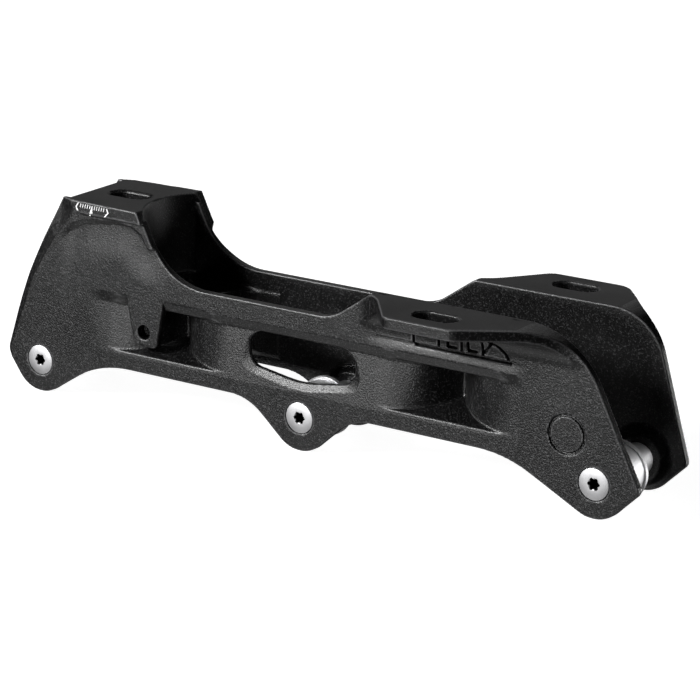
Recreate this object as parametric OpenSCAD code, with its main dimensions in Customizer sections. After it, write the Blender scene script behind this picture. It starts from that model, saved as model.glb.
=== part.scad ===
// Inline skate frame: a one-piece cast body for three wheels, with its axles and their spacers.
// X runs from heel to toe, Y across, Z up. The origin is on the floor, under the middle axle.
// The frame is for the right foot: the toe wing at -Y sits further back than the one at +Y.

/* [Axles] */
// Distance from one axle to the next
axle_pitch = 115.5; // [112:0.5:122]
// Radius of the rounded lobe around each axle, which is also the axle's height
lobe_r = 12; // [11:0.5:14]
// Diameter of the axle shaft
axle_d = 8; // [6:0.1:8.6]
// Diameter of the axle head
head_d = 11.3; // [10.4:0.1:13]
// Thickness of the axle head
head_t = 3; // [2:0.1:4]
// Width of the driver socket, across its corners
socket_d = 5; // [3:0.1:6]
// Depth of the driver socket
socket_depth = 2.2; // [1:0.1:2.6]
// How far the axle's end stays inside the far wall
end_inset = 0.6; // [0:0.1:1.5]

/* [Spacers] */
// Radius of the spacer's rim
rim_r = 10.7; // [9:0.1:11.5]
// Width of the spacer's rim
rim_w = 1.8; // [1:0.1:3]
// Height of the rim above the barrel
rim_step = 0.6; // [0.2:0.1:1]
// Radius of the barrel where it meets the near boss
barrel_r = 9.2; // [8:0.1:10.4]
// Radius of the spacer's thin neck
neck_r = 5.6; // [5:0.1:7]
// Length of the barrel and rim together
barrel_l = 12.4; // [9:0.1:16]
// Depth of the dished face inside the rim
dish_depth = 4; // [1:0.1:6]
// Thickness of the wall around the dish
dish_wall = 1.7; // [1:0.1:2.4]

/* [Clearances] */
// Radial clearance of the axle shaft in the casting
axle_play = 0.05; // [0.02:0.01:0.09]
// Radial clearance of the spacer on the axle
spacer_play = 0.08; // [0.02:0.01:0.1]
// Radial clearance of the axle head in its seat
head_play = 0.1; // [0.05:0.01:0.2]
// Gap between the spacer's ends and the bosses
end_play = 0.15; // [0.1:0.05:0.3]

/* [Walls] */
// Clear width between the side walls
wheel_gap = 30.6; // [28:0.1:32]
// Thickness of a side wall
wall_t = 3; // [2.6:0.1:5]
// Radius of the wheel that the bays leave room for
wheel_r = 50; // [46:0.5:51]
// Free space around the wheel
wheel_clear = 3; // [1.5:0.5:4]
// Height of a boss above the inner wall
boss_h = 2.4; // [1.5:0.1:3]
// Radius of a boss at the wall
boss_r = 10.6; // [9.5:0.1:11.5]
// Radius of a boss at its face
boss_face_r = 8; // [7:0.1:9]

/* [Heights above the axles] */
// Underside of the lower rail
rail_low = 3.5; // [2:0.5:6]
// Top of the lower rail
rail_high = 10.2; // [9:0.1:12]
// Underside of the upper rail
beam_low = 28; // [27:0.5:31]
// Top of the upper rail
beam_high = 38.4; // [36:0.1:41]
// Top of the toe wings
toe_h = 50; // [46:0.5:54]
// Top of the heel deck
heel_h = 63.2; // [58:0.2:68]

/* [Necks] */
// Length of each pinched neck between two wheels
neck_l = 52; // [46:1:54]
// Half width at which the flanks of a neck would meet, before their rounding
waist = 4.6; // [3:0.1:6]
// Radius at the waist
waist_r = 4; // [2:0.5:5]
// Distance of the shoulder from the waist
shoulder_x = 11; // [9:0.5:14]
// How far the shoulder lies inside the outer wall
shoulder_in = 2.3; // [1:0.1:3.5]
// Radius of the shoulder
shoulder_r = 20; // [8:1:22]
// Rise of the hollow's floor beside a neck, from the rail to the middle
neck_rise = 6.5; // [3:0.5:9]
// Thickness of that floor
floor_t = 3.6; // [2.5:0.1:5]
// Height of the bevel along the upper rail's lower edge
lip_rise = 3.2; // [1:0.1:4]
// Depth of that bevel into the wall
lip_in = 1.8; // [0.5:0.1:2.4]
// Height of the neck's top above the underside of the upper rail
neck_over = 3; // [1:0.5:6]

/* [Heel] */
// Heel deck thickness
deck_t = 4.5; // [3:0.1:7]
// Rear top corner of the walls, in front of the rear axle
heel_back = 11; // [8:0.5:16]
// Rear tip of the walls at the axles' height, behind the rear axle
rear_tip = 16.2; // [14:0.1:18]
// How far the rear edge bulges past a straight line from corner to tip
rear_bulge = 2.7; // [1:0.1:4]
// Turn of the rear edge between its middle and each end
rear_turn = 7.1; // [4:0.1:10]
// Rear edge of the deck, in front of the wall corners
deck_inset = 2.5; // [1:0.5:5]
// Front top corner of the walls, in front of the rear axle
heel_front = 46.5; // [42:0.5:52]
// Half width of the deck at its rear edge
deck_w_back = 18; // [16.5:0.1:19]
// Half width of the deck at its front edge
deck_w_front = 20; // [18.5:0.1:22]
// Radius of the hollow front edge of the deck
deck_hollow_r = 24; // [19:1:40]
// Thickness of the bulkhead under the deck
bulkhead_t = 3.5; // [2.5:0.1:5]
// Height of the bulkhead's lower edge above the axles
bulkhead_low = 34; // [33:0.5:40]
// Lean of the heel's front edge, from upright
heel_lean = 25; // [15:0.5:32]
// Length of the mounting slots
slot_l = 16.6; // [14:0.2:20]
// Width of the mounting slots
slot_w = 8.4; // [6:0.1:10]
// Centre of the heel slot, in front of the rear axle
heel_slot = 29; // [26:0.5:32]

/* [Toe] */
// Thickness of the toe wings
wing_t = 3.7; // [3:0.1:6]
// Half width over the toe wings
wing_reach = 39.5; // [37:0.5:43]
// Distance that the wing at -Y sits further back
stagger = 22.1; // [18:0.1:26]
// Distance that the slot at -Y sits further back
slot_stagger = 20; // [18:0.5:24]
// Top of the ramp at +Y, behind the front axle
wing_back = 66.4; // [64:0.1:69]
// How far a wing starts behind the top of its ramp
wing_lead = 1.4; // [0:0.1:3]
// Rear outer corner of the wing at -Y, in front of the top of its ramp
near_slant = 20; // [15:0.5:24]
// Rear outer corner of the wing at +Y, in front of the top of its ramp
far_slant = 17.2; // [14:0.1:21]
// Length of the outer edge at -Y
near_edge = 25.3; // [20:0.1:29]
// Length of the outer edge at +Y
far_edge = 29.3; // [24:0.1:33]
// Foot of the front edge at -Y, in front of the top of its ramp
near_foot = 79.5; // [70:0.5:84]
// Foot of the front edge at +Y, in front of the top of its ramp
far_foot = 64.8; // [58:0.2:70]
// Centre of the slot in the wing at +Y, behind the front axle
wing_slot = 34.5; // [32:0.5:37]
// Distance of the toe slots from the middle plane
slot_reach = 29; // [27:0.5:31]
// Slope of the ramp behind a wing
ramp_slope = 35; // [28:1:42]
// Nose tip, in front of the front axle
nose = 16.3; // [15:0.1:19]
// Nose tip, above the axles
nose_up = 1; // [0:0.1:2]
// Lean of the front edge at -Y, from upright
front_lean_near = 26.5; // [22:0.1:30]
// Lean of the front edge at +Y, from upright
front_lean_far = 16.2; // [14:0.1:20]
// Radius of the hollow flank between a wing and its wall
flank_r = 12.3; // [8:0.1:14]
// Length of the ribbed pocket under a wing
pocket_l = 37; // [30:0.5:40]
// How far the middle of the ribbed pocket lies in front of the slot
pocket_ahead = 3.8; // [0:0.2:6]
// Lower edge of the ribbed pocket, above the axles
pocket_low = 35; // [34:0.1:38]
// Height of the ribbed pocket
pocket_h = 7; // [4:0.2:8]
// Depth of the ribbed pocket into the wall
pocket_depth = 1; // [0.4:0.1:1.4]
// Number of ribs in the pocket
ribs = 3; // [2:1:5]
// Thickness of a rib
rib_t = 2; // [1.5:0.1:3.5]

/* [Window and tab] */
// Half length of the oval window
window_l = 21.8; // [18:0.2:24]
// Lowest point of the window, above the axles
window_low = 12.2; // [11:0.2:14]
// Upper edge of the window, above the axles
window_high = 28; // [24:0.2:28.5]
// How far the window's lower edge bows down between its corners
window_bow = 3.5; // [1:0.1:5]
// Corner radius of the window
window_r = 5.4; // [3:0.1:6]
// Width of the sloped rim at the window's ends
frame_ends = 3.8; // [2:0.1:5]
// Width of the sloped rim under the window
frame_below = 2.4; // [1:0.1:3]
// Width of the sloped rim above the window
frame_above = 1.2; // [0.6:0.1:2]
// Depth of the sloped rim
frame_depth = 1.4; // [0.5:0.1:2]
// Width of the hanging tab at its root
tab_w = 15; // [12:0.5:17]
// Width of the tab at its foot
tab_foot_w = 9; // [7:0.5:11]
// Corner radius of the tab's foot
tab_r = 2.5; // [1:0.1:3]
// Height of the tab's lower edge above the axles
tab_low = 13.5; // [12:0.5:16]
// Middle of the tab, behind the waist of the rear neck
tab_back = 8.2; // [6:0.2:10]
// Diameter of the hole in the tab
tab_hole_d = 5.2; // [3:0.1:6]
// Height of the hole above the tab's lower edge
tab_hole_up = 5.2; // [4.5:0.1:7]
// How far the hole sits behind the tab's middle
tab_hole_back = 1; // [0:0.1:1.5]

/* [Badge] */
// Outer radius of the blank ring groove on the -Y wall
badge_r = 7; // [5:0.1:8]
// Width of the ring groove
badge_line = 0.9; // [0.5:0.1:2]
// Depth of the ring groove
badge_depth = 0.6; // [0.2:0.1:1]
// Centre of the ring groove, behind the front axle
badge_back = 10.5; // [9:0.5:12]
// Centre of the ring groove, above the axles
badge_up = 15; // [14:0.5:17]

/* [Hidden] */
$fn = 64;

// Sides of the driver socket
socket_sides = 6;
// How far cuts run past the faces that they open, and roots run into the body
over = 1;
// Degrees between the points of a rounded corner
arc_step = 7;
// Thickness of the sheets that a sloped cut is stretched between
sheet_t = 0.01;

axle_z = lobe_r;
rear_x = -axle_pitch;
front_x = axle_pitch;
half_gap = wheel_gap / 2;
half_w = half_gap + wall_t;
deck_z = axle_z + heel_h;
toe_z = axle_z + toe_h;
beam_z = axle_z + beam_high;
lip_z = axle_z + beam_low;
rail_z = axle_z + rail_high;
bore_r = axle_d / 2 + axle_play;
seat_r = head_d / 2 + head_play;
spacer_l = wheel_gap - 2 * boss_h - 2 * end_play;
axle_l = 2 * half_w - end_inset;
heel_front_x = rear_x + heel_front;
hollow_x = heel_front_x + sqrt(pow(deck_hollow_r, 2) - pow(half_gap, 2));
deck_under = deck_z - deck_t;
wing_under = toe_z - wing_t;
// Lean of the rear edge's middle part, from upright
rear_lean = atan2(heel_back + rear_tip, heel_h);
near_wing_x = front_x - wing_back - stagger;
wing_x = front_x - wing_back;

// Slopes of the lobes' flanks, as the directions that their faces look in
rear_lobe = [215, 303];
middle_lobe = [228, 312];
front_lobe = [243, 315];

// Corner radii of the side outline
tip_r = 3;
rear_r = 100;
rail_sweep_r = 45;
lobe_sweep_r = 20;
nose_round_near = 32;
nose_round_far = 20;
wing_round = 5;
wing_rear_r = 6;
wing_edge_r = 9;
window_bow_r = 40;
ramp_foot_r = 18;
heel_sweep_r = 27;

// A line in a plane: the direction its face looks in, and its distance from the origin
function facing(angle) = [cos(angle), sin(angle)];
function line_at(angle, point) = [angle, facing(angle) * point];
function tangent(angle, centre, r) = [angle, facing(angle) * centre + r];
function meet(a, b) =
    let (det = sin(b[0] - a[0]))
    [a[1] * sin(b[0]) - b[1] * sin(a[0]), b[1] * cos(a[0]) - a[1] * cos(b[0])] / det;

// An outline from corners [x, y, radius], each one rounded by an arc
function unit(v) = v / norm(v);
function flat(lists) = [for (list = lists) for (item = list) item];
function turn(a) = a > 180 ? a - 360 : a < -180 ? a + 360 : a;
function arc_at(before, corner, after, r) =
    let (u = unit(before - corner))
    let (v = unit(after - corner))
    let (half = acos(u * v) / 2)
    let (centre = corner + unit(u + v) * r / sin(half))
    let (start = corner + u * r / tan(half) - centre)
    let (finish = corner + v * r / tan(half) - centre)
    let (a = atan2(start[1], start[0]))
    let (sweep = turn(atan2(finish[1], finish[0]) - a))
    let (steps = max(2, ceil(abs(sweep) / arc_step)))
    [for (k = [0:steps]) centre + r * facing(a + sweep * k / steps)];
function spot(c) = [c[0], c[1]];
function rounded(corners) =
    let (n = len(corners))
    flat([for (i = [0:n - 1])
        let (c = corners[i])
        c[2] <= 0 ? [spot(c)]
        : arc_at(spot(corners[(i + n - 1) % n]), spot(c), spot(corners[(i + 1) % n]), c[2])]);
function corners_of(edges) =
    let (n = len(edges))
    [for (i = [0:n - 1])
        let (p = meet(edges[i], edges[(i + 1) % n]))
        [p[0], p[1], edges[i][2]]];
function edge(line, r) = [line[0], line[1], r];

function axle_at(x) = [x, axle_z];
rear_top = [rear_x + heel_back, deck_z];
rear_end = axle_at(rear_x - rear_tip);
function lobe_edge(x, angle, r) = edge(tangent(angle, axle_at(x), lobe_r), r);

// Side outline of one wall up to a heel height, with the radius at the corner after each edge
function wall_edges(wing_start, front_lean, nose_round, heel_top) = [
    edge(line_at(180 - rear_lean - rear_turn, rear_top), rear_r),
    edge(line_at(180 - rear_lean, (rear_top + rear_end) / 2 - [rear_bulge, 0]), rear_r),
    edge(line_at(180 - rear_lean + rear_turn, rear_end), tip_r),
    lobe_edge(rear_x, rear_lobe[0], lobe_r),
    lobe_edge(rear_x, rear_lobe[1], rail_sweep_r),
    edge(line_at(270, [0, axle_z + rail_low]), lobe_sweep_r),
    lobe_edge(0, middle_lobe[0], lobe_r),
    lobe_edge(0, middle_lobe[1], lobe_sweep_r),
    edge(line_at(270, [0, axle_z + rail_low]), rail_sweep_r),
    lobe_edge(front_x, front_lobe[0], lobe_r),
    lobe_edge(front_x, front_lobe[1], tip_r),
    edge(line_at(front_lean, axle_at(front_x + nose) + [0, nose_up]), nose_round),
    edge(line_at(90, [0, toe_z]), wing_round),
    edge(line_at(90 + ramp_slope, [wing_start, toe_z]), ramp_foot_r),
    edge(line_at(90, [0, beam_z]), heel_sweep_r),
    edge(line_at(heel_lean, [heel_front_x, deck_z]), 0),
    edge(line_at(90, [0, heel_top]), 0)
];

module upright(y, t) translate([0, y + t, 0]) rotate([90, 0, 0]) linear_extrude(t) children();

module wall_sheet(wing_start, front_lean, nose_round, heel_top)
    polygon(rounded(corners_of(wall_edges(wing_start, front_lean, nose_round, heel_top))));

// Outline of the window, made larger at its ends, below and above
module window(ends, below, above) {
    half = window_l + ends;
    low = axle_z + window_low - below;
    high = axle_z + window_high + above;
    polygon(rounded([
        [-half, high, window_r],
        [half, high, window_r],
        [half, low + window_bow, window_r],
        [0, low, window_bow_r],
        [-half, low + window_bow, window_r]
    ]));
}

// The rim slopes from the outer face down to the window, and runs on past both
module window_at(share) window(share * frame_ends, share * frame_below, share * frame_above);
module window_cut() {
    past = over / frame_depth;
    upright(-half_w - over, half_w) window_at(0);
    hull() {
        upright(-half_w - over, sheet_t) window_at(1 + past);
        upright(-half_w + frame_depth + over, sheet_t) window_at(-past);
    }
}

module near_sheet() wall_sheet(near_wing_x, front_lean_near, nose_round_near, deck_under + over);
module far_sheet() wall_sheet(wing_x, front_lean_far, nose_round_far, deck_under + over);
module heel_sheet() wall_sheet(wing_x, front_lean_far, nose_round_far, deck_z);

module walls() {
    upright(-half_w, wall_t) near_sheet();
    upright(half_gap, wall_t) far_sheet();
}

// Plan of the hollow beside one neck, on the +Y side
module notch_plan() {
    reach = neck_l / 2;
    polygon(rounded([
        [-reach, half_w, 0],
        [-shoulder_x, half_w - shoulder_in, shoulder_r],
        [0, waist, waist_r],
        [shoulder_x, half_w - shoulder_in, shoulder_r],
        [reach, half_w, 0],
        [reach, half_w + over, 0],
        [-reach, half_w + over, 0]
    ]));
}

// Plan of a wheel bay, with round ends
module bay_plan() {
    run = wheel_r + wheel_clear - half_gap;
    square([2 * run, wheel_gap], center = true);
    for (side = [-1, 1]) translate([side * run, 0]) circle(half_gap);
}

module neck_block(x) {
    difference() {
        across(x) polygon([
            [-half_w, rail_z - floor_t],
            [0, rail_z + neck_rise - floor_t],
            [half_w, rail_z - floor_t],
            [half_w, lip_z + neck_over],
            [-half_w, lip_z + neck_over]
        ]);
        for (axle = [x - axle_pitch / 2, x + axle_pitch / 2])
            translate([axle, 0, 0]) linear_extrude(toe_z) bay_plan();
    }
}

// A section across the frame, drawn over the length of a neck
module across(x)
    translate([x - neck_l / 2, 0, 0]) rotate([90, 0, 90]) linear_extrude(neck_l) children();

// Section of the hollow beside a neck: a floor that rises inwards, and a bevel under the upper rail
module notch_section() {
    out = half_w + over;
    polygon([
        [0, rail_z + neck_rise],
        [out, rail_z - neck_rise * over / half_w],
        [out, lip_z + lip_rise * (lip_in + over) / lip_in],
        [half_w - lip_in, lip_z],
        [0, lip_z]
    ]);
}

module neck_notches(x)
    for (side = [0, 1]) mirror([0, side, 0]) intersection() {
        translate([x, 0, 0]) linear_extrude(toe_z) notch_plan();
        across(x) notch_section();
    }

module tab() {
    middle = -axle_pitch / 2 - tab_back;
    low = axle_z + tab_low;
    upright(-half_w, wall_t) difference() {
        polygon(rounded([
            [middle - tab_w / 2, lip_z + over, 0],
            [middle - tab_foot_w / 2, low, tab_r],
            [middle + tab_foot_w / 2, low, tab_r],
            [middle + tab_w / 2, lip_z + over, 0]
        ]));
        translate([middle - tab_hole_back, low + tab_hole_up]) circle(d = tab_hole_d);
    }
}

module slot_plan() {
    run = (slot_l - slot_w) / 2;
    square([2 * run, slot_w], center = true);
    for (side = [-1, 1]) translate([side * run, 0]) circle(d = slot_w);
}

module heel_deck() {
    back = rear_x + heel_back - deck_t;
    front = heel_front_x + deck_t;
    intersection() {
        translate([0, 0, deck_under]) linear_extrude(deck_t) difference() {
            polygon([
                [back, -deck_w_back],
                [front, -deck_w_front],
                [front, deck_w_front],
                [back, deck_w_back]
            ]);
            translate([back - over, -half_gap]) square([over + deck_t + deck_inset, wheel_gap]);
            translate([hollow_x, 0]) circle(deck_hollow_r);
            translate([rear_x + heel_slot, 0]) slot_plan();
        }
        upright(-wing_reach, 2 * wing_reach) heel_sheet();
    }
}

// The curved wall that closes the heel box under the front edge of the deck
module bulkhead() {
    low = axle_z + bulkhead_low;
    span = wheel_gap + wall_t;
    translate([hollow_x, 0, low]) linear_extrude(deck_under - low) intersection() {
        difference() {
            circle(deck_hollow_r + bulkhead_t);
            circle(deck_hollow_r);
        }
        translate([-2 * deck_hollow_r, -span / 2]) square([2 * deck_hollow_r, span]);
    }
}

// Plan of a toe wing on the +Y side, from the top of its ramp
module wing_plan(slant, length, foot) {
    polygon(rounded([
        [-wing_lead, half_gap, 0],
        [slant, wing_reach, wing_rear_r],
        [slant + length, wing_reach, wing_edge_r],
        [foot, half_w, 0],
        [foot, half_gap, 0]
    ]));
}

// Section across a toe wing: a flat plate, with a hollow flank down to the wall
module wing_section() {
    low = wing_under - flank_r - over;
    polygon(rounded([
        [half_gap, toe_z, 0],
        [wing_reach, toe_z, 0],
        [wing_reach, wing_under, 0],
        [half_w, wing_under, flank_r],
        [half_w, low, 0],
        [half_gap, low, 0]
    ]));
}

module rib_pockets(middle) {
    step = (pocket_l + rib_t) / (ribs + 1);
    for (k = [0:ribs])
        translate([middle - pocket_l / 2 + k * step, half_w - pocket_depth, axle_z + pocket_low])
            cube([step - rib_t, wing_reach, pocket_h]);
}

// A wing is where its plan, its section and the side outline of its wall meet
module toe_wing(slant, length, foot) {
    intersection() {
        linear_extrude(toe_z) wing_plan(slant, length, foot);
        translate([-wing_lead, 0, 0]) rotate([90, 0, 90]) linear_extrude(foot + wing_lead) wing_section();
        children();
    }
}

module wing_cuts(slot_x) {
    translate([slot_x, slot_reach, 0]) linear_extrude(toe_z + over) slot_plan();
    rib_pockets(slot_x + pocket_ahead);
}

module toe_wings() {
    translate([wing_x, 0, 0])
        toe_wing(far_slant, far_edge, far_foot)
            translate([-wing_x, 0, 0]) upright(0, 2 * wing_reach) far_sheet();
    translate([near_wing_x, 0, 0]) mirror([0, 1, 0])
        toe_wing(near_slant, near_edge, near_foot)
            translate([-near_wing_x, 0, 0]) upright(0, 2 * wing_reach) near_sheet();
}

module along_axle(x, y) translate([x, y, axle_z]) rotate([-90, 0, 0]) children();

module bosses(x) {
    along_axle(x, -half_gap) cylinder(boss_h, boss_r, boss_face_r);
    along_axle(x, half_gap - boss_h) cylinder(boss_h, boss_face_r, boss_r);
}

module axle_holes(x) {
    along_axle(x, -half_w - over) cylinder(2 * half_w + 2 * over, r = bore_r);
    along_axle(x, -half_w - over) cylinder(head_t + over, r = seat_r);
}

module badge_groove()
    translate([front_x - badge_back, -half_w - over, axle_z + badge_up]) rotate([-90, 0, 0])
        linear_extrude(badge_depth + over) difference() {
            circle(badge_r);
            circle(badge_r - badge_line);
        }

module frame_casting() {
    color([0.06, 0.06, 0.065]) difference() {
        union() {
            difference() {
                union() {
                    walls();
                    for (side = [-1, 1]) neck_block(side * axle_pitch / 2);
                }
                for (side = [-1, 1]) neck_notches(side * axle_pitch / 2);
            }
            tab();
            heel_deck();
            bulkhead();
            toe_wings();
            for (x = [rear_x, 0, front_x]) bosses(x);
        }
        window_cut();
        wing_cuts(front_x - wing_slot);
        mirror([0, 1, 0]) wing_cuts(front_x - wing_slot - slot_stagger);
        for (x = [rear_x, 0, front_x]) axle_holes(x);
        badge_groove();
    }
}

module axle(x) {
    color([0.85, 0.86, 0.88]) along_axle(x, -half_w) difference() {
        union() {
            cylinder(head_t, d = head_d);
            cylinder(axle_l, d = axle_d);
        }
        translate([0, 0, -over]) cylinder(socket_depth + over, d = socket_d, $fn = socket_sides);
    }
}

module spacer(x) {
    inner = axle_d / 2 + spacer_play;
    color([0.78, 0.79, 0.8]) along_axle(x, -spacer_l / 2) rotate_extrude() polygon([
        [inner, 0],
        [barrel_r, 0],
        [rim_r - rim_step, barrel_l - rim_w],
        [rim_r, barrel_l - rim_w],
        [rim_r, barrel_l],
        [rim_r - dish_wall, barrel_l],
        [rim_r - dish_wall, barrel_l - dish_depth],
        [neck_r, barrel_l - dish_depth],
        [neck_r, spacer_l],
        [inner, spacer_l]
    ]);
}

module rear_axle() axle(rear_x);
module middle_axle() axle(0);
module front_axle() axle(front_x);
module rear_spacer() spacer(rear_x);
module middle_spacer() spacer(0);
module front_spacer() spacer(front_x);

frame_casting();
rear_axle();
middle_axle();
front_axle();
rear_spacer();
middle_spacer();
front_spacer();
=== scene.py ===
import math

import bpy
import numpy as np
from mathutils import Matrix, Vector


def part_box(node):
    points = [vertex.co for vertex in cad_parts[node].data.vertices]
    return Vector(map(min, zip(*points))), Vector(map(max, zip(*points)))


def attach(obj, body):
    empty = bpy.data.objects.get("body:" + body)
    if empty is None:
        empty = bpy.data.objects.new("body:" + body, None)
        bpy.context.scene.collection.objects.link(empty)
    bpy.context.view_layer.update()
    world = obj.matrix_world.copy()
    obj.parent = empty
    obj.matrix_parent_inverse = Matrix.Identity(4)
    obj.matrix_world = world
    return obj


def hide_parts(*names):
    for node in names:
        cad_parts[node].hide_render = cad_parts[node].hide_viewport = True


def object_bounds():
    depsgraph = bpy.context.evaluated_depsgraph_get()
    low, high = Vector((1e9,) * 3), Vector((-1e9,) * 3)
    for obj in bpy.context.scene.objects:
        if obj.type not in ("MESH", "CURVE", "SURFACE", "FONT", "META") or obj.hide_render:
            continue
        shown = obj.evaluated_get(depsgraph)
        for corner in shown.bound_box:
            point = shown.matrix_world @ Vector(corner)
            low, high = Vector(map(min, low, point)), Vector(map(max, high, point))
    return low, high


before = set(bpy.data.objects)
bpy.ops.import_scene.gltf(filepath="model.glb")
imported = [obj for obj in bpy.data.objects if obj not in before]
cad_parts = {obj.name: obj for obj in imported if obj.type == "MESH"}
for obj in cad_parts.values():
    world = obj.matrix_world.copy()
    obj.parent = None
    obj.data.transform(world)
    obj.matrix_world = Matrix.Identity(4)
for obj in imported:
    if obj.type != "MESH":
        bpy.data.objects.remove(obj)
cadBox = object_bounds()
metre = 0.001  # sizes below are in millimetres

scene = bpy.context.scene


def centreOf(node):
    low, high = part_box(node)
    return (low + high) / 2 / metre


rearX = centreOf("rear_axle").x
frontX = centreOf("front_axle").x
axleZ = centreOf("middle_axle").z
deckTop = cadBox[1].z / metre
wingReach = cadBox[1].y / metre
print("frame loaded, wheelbase", round(frontX - rearX, 2), "mm")


# Camera, floor and light

studio = {
    "cameraAt": (0.5022, -0.7527, 0.3161),
    "azimuth": 33.247,
    "elevation": 17.427,
    "roll": 0.602,
    "lens": 139.78,
    "sensor": 36.0,
    "floorSize": 14.0,
    "floorColour": (0.5, 0.5, 0.5, 1),
    "glowColour": (1, 1, 1, 1),
    "floorGlow": 0.95,
    "floorRough": 0.7,
    "worldColour": (1, 1, 1, 1),
    "worldStrength": 0.004,
    "lights": [
        # name, place, aimed at, width, height, watts
        ("keyLow", (-0.78, -2.25, 0.05), (0, 0, 0.03), 1.90, 0.45, 28.0),
        ("bevelLight", (-0.84, -1.02, 0.74), (0, 0, 0.03), 0.50, 0.30, 26.0),
        ("underLight", (-0.35, -0.52, -0.95), (0, 0, 0.03), 1.0, 0.7, 2.0),
        ("edgesRight", (1.35, 0.10, 0.63), (0, 0, 0.03), 0.25, 0.35, 1.2),
        ("backFill", (-0.80, 1.20, 0.70), (0, 0, 0.03), 1.4, 0.5, 1.2),
        ("farKey", (0.0, 2.27, -0.45), (0, 0, 0.03), 1.70, 0.60, 20.0),
        ("floorBounce", (0.76, 0.95, -0.35), (0, 0, 0.03), 0.9, 0.6, 2.0),
        ("metalCard", (1.30, 0.30, 0.25), (0.1, 0, 0.02), 0.5, 0.5, 18.0),
    ],
}


def makeCamera():
    data = bpy.data.cameras.new("photoCamera")
    data.sensor_fit = "HORIZONTAL"
    data.sensor_width = studio["sensor"]
    data.lens = studio["lens"]
    data.clip_start = 0.01
    camera = bpy.data.objects.new("photoCamera", data)
    scene.collection.objects.link(camera)
    turn = Matrix.Rotation(math.radians(studio["azimuth"]), 4, "Z")
    tilt = Matrix.Rotation(math.radians(90 - studio["elevation"]), 4, "X")
    roll = Matrix.Rotation(math.radians(studio["roll"]), 4, "Z")
    camera.matrix_world = Matrix.Translation(studio["cameraAt"]) @ turn @ tilt @ roll
    scene.camera = camera


def makeLights():
    for name, place, aim, width, height, watts in studio["lights"]:
        data = bpy.data.lights.new(name, "AREA")
        data.shape = "RECTANGLE"
        data.size = width
        data.size_y = height
        data.energy = watts
        lamp = bpy.data.objects.new(name, data)
        lamp.location = place
        lamp.rotation_euler = (Vector(aim) - Vector(place)).to_track_quat("-Z", "Y").to_euler()
        scene.collection.objects.link(lamp)
    world = bpy.data.worlds.new("studioWorld")
    world.use_nodes = True
    sky = world.node_tree.nodes["Background"]
    sky.inputs["Color"].default_value = studio["worldColour"]
    sky.inputs["Strength"].default_value = studio["worldStrength"]
    scene.world = world
    scene.view_settings.view_transform = "Standard"


def makeFloor():
    half = studio["floorSize"] / 2
    mesh = bpy.data.meshes.new("floor")
    corners = [(-half, -half, 0), (half, -half, 0), (half, half, 0), (-half, half, 0)]
    mesh.from_pydata(corners, [], [(0, 1, 2, 3)])
    floor = bpy.data.objects.new("floor", mesh)
    scene.collection.objects.link(floor)
    material = bpy.data.materials.new("paleFloor")
    material.use_nodes = True
    shader = material.node_tree.nodes["Principled BSDF"]
    shader.inputs["Base Color"].default_value = studio["floorColour"]
    shader.inputs["Roughness"].default_value = studio["floorRough"]
    shader.inputs["Emission Color"].default_value = studio["glowColour"]
    shader.inputs["Emission Strength"].default_value = studio["floorGlow"]
    mesh.materials.append(material)
    # a white floor close under the part would light its dark undersides, and the low lamps shine through it
    floor.visible_glossy = False
    floor.visible_diffuse = False
    floor.visible_shadow = False


makeCamera()
makeLights()
makeFloor()
metalPieces = bpy.data.collections.new("metalPieces")  # what the metal card alone lights
bpy.data.objects["metalCard"].light_linking.receiver_collection = metalPieces
print("camera, lights and floor are set")


# Shader helpers and materials


def newMaterial(name):
    material = bpy.data.materials.new(name)
    material.use_nodes = True
    tree = material.node_tree
    return material, tree, tree.nodes["Principled BSDF"]


def addNode(tree, kind, **values):
    node = tree.nodes.new(kind)
    for key, value in values.items():
        setattr(node, key, value)
    return node


def mathNode(tree, operation, first, second):
    node = addNode(tree, "ShaderNodeMath", operation=operation)
    for socket, value in zip(node.inputs, (first, second)):
        if isinstance(value, (int, float)):
            socket.default_value = value
        else:
            tree.links.new(value, socket)
    return node.outputs[0]


def mixColour(tree, factor, first, second):
    node = addNode(tree, "ShaderNodeMix", data_type="RGBA")
    tree.links.new(factor, node.inputs["Factor"])
    for socket, value in zip((node.inputs[6], node.inputs[7]), (first, second)):
        if isinstance(value, tuple):
            socket.default_value = value
        else:
            tree.links.new(value, socket)
    return node.outputs[2]


grainLook = {
    "detail": 2.0,
    "rough": 0.6,
    "cellShare": 0.8,  # of the grain's own scale
    "cellDepth": 0.35,
    "fleckEdge": 0.1,
    "cloudScale": 45.0,
    "cloudDetail": 3.0,
}


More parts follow.
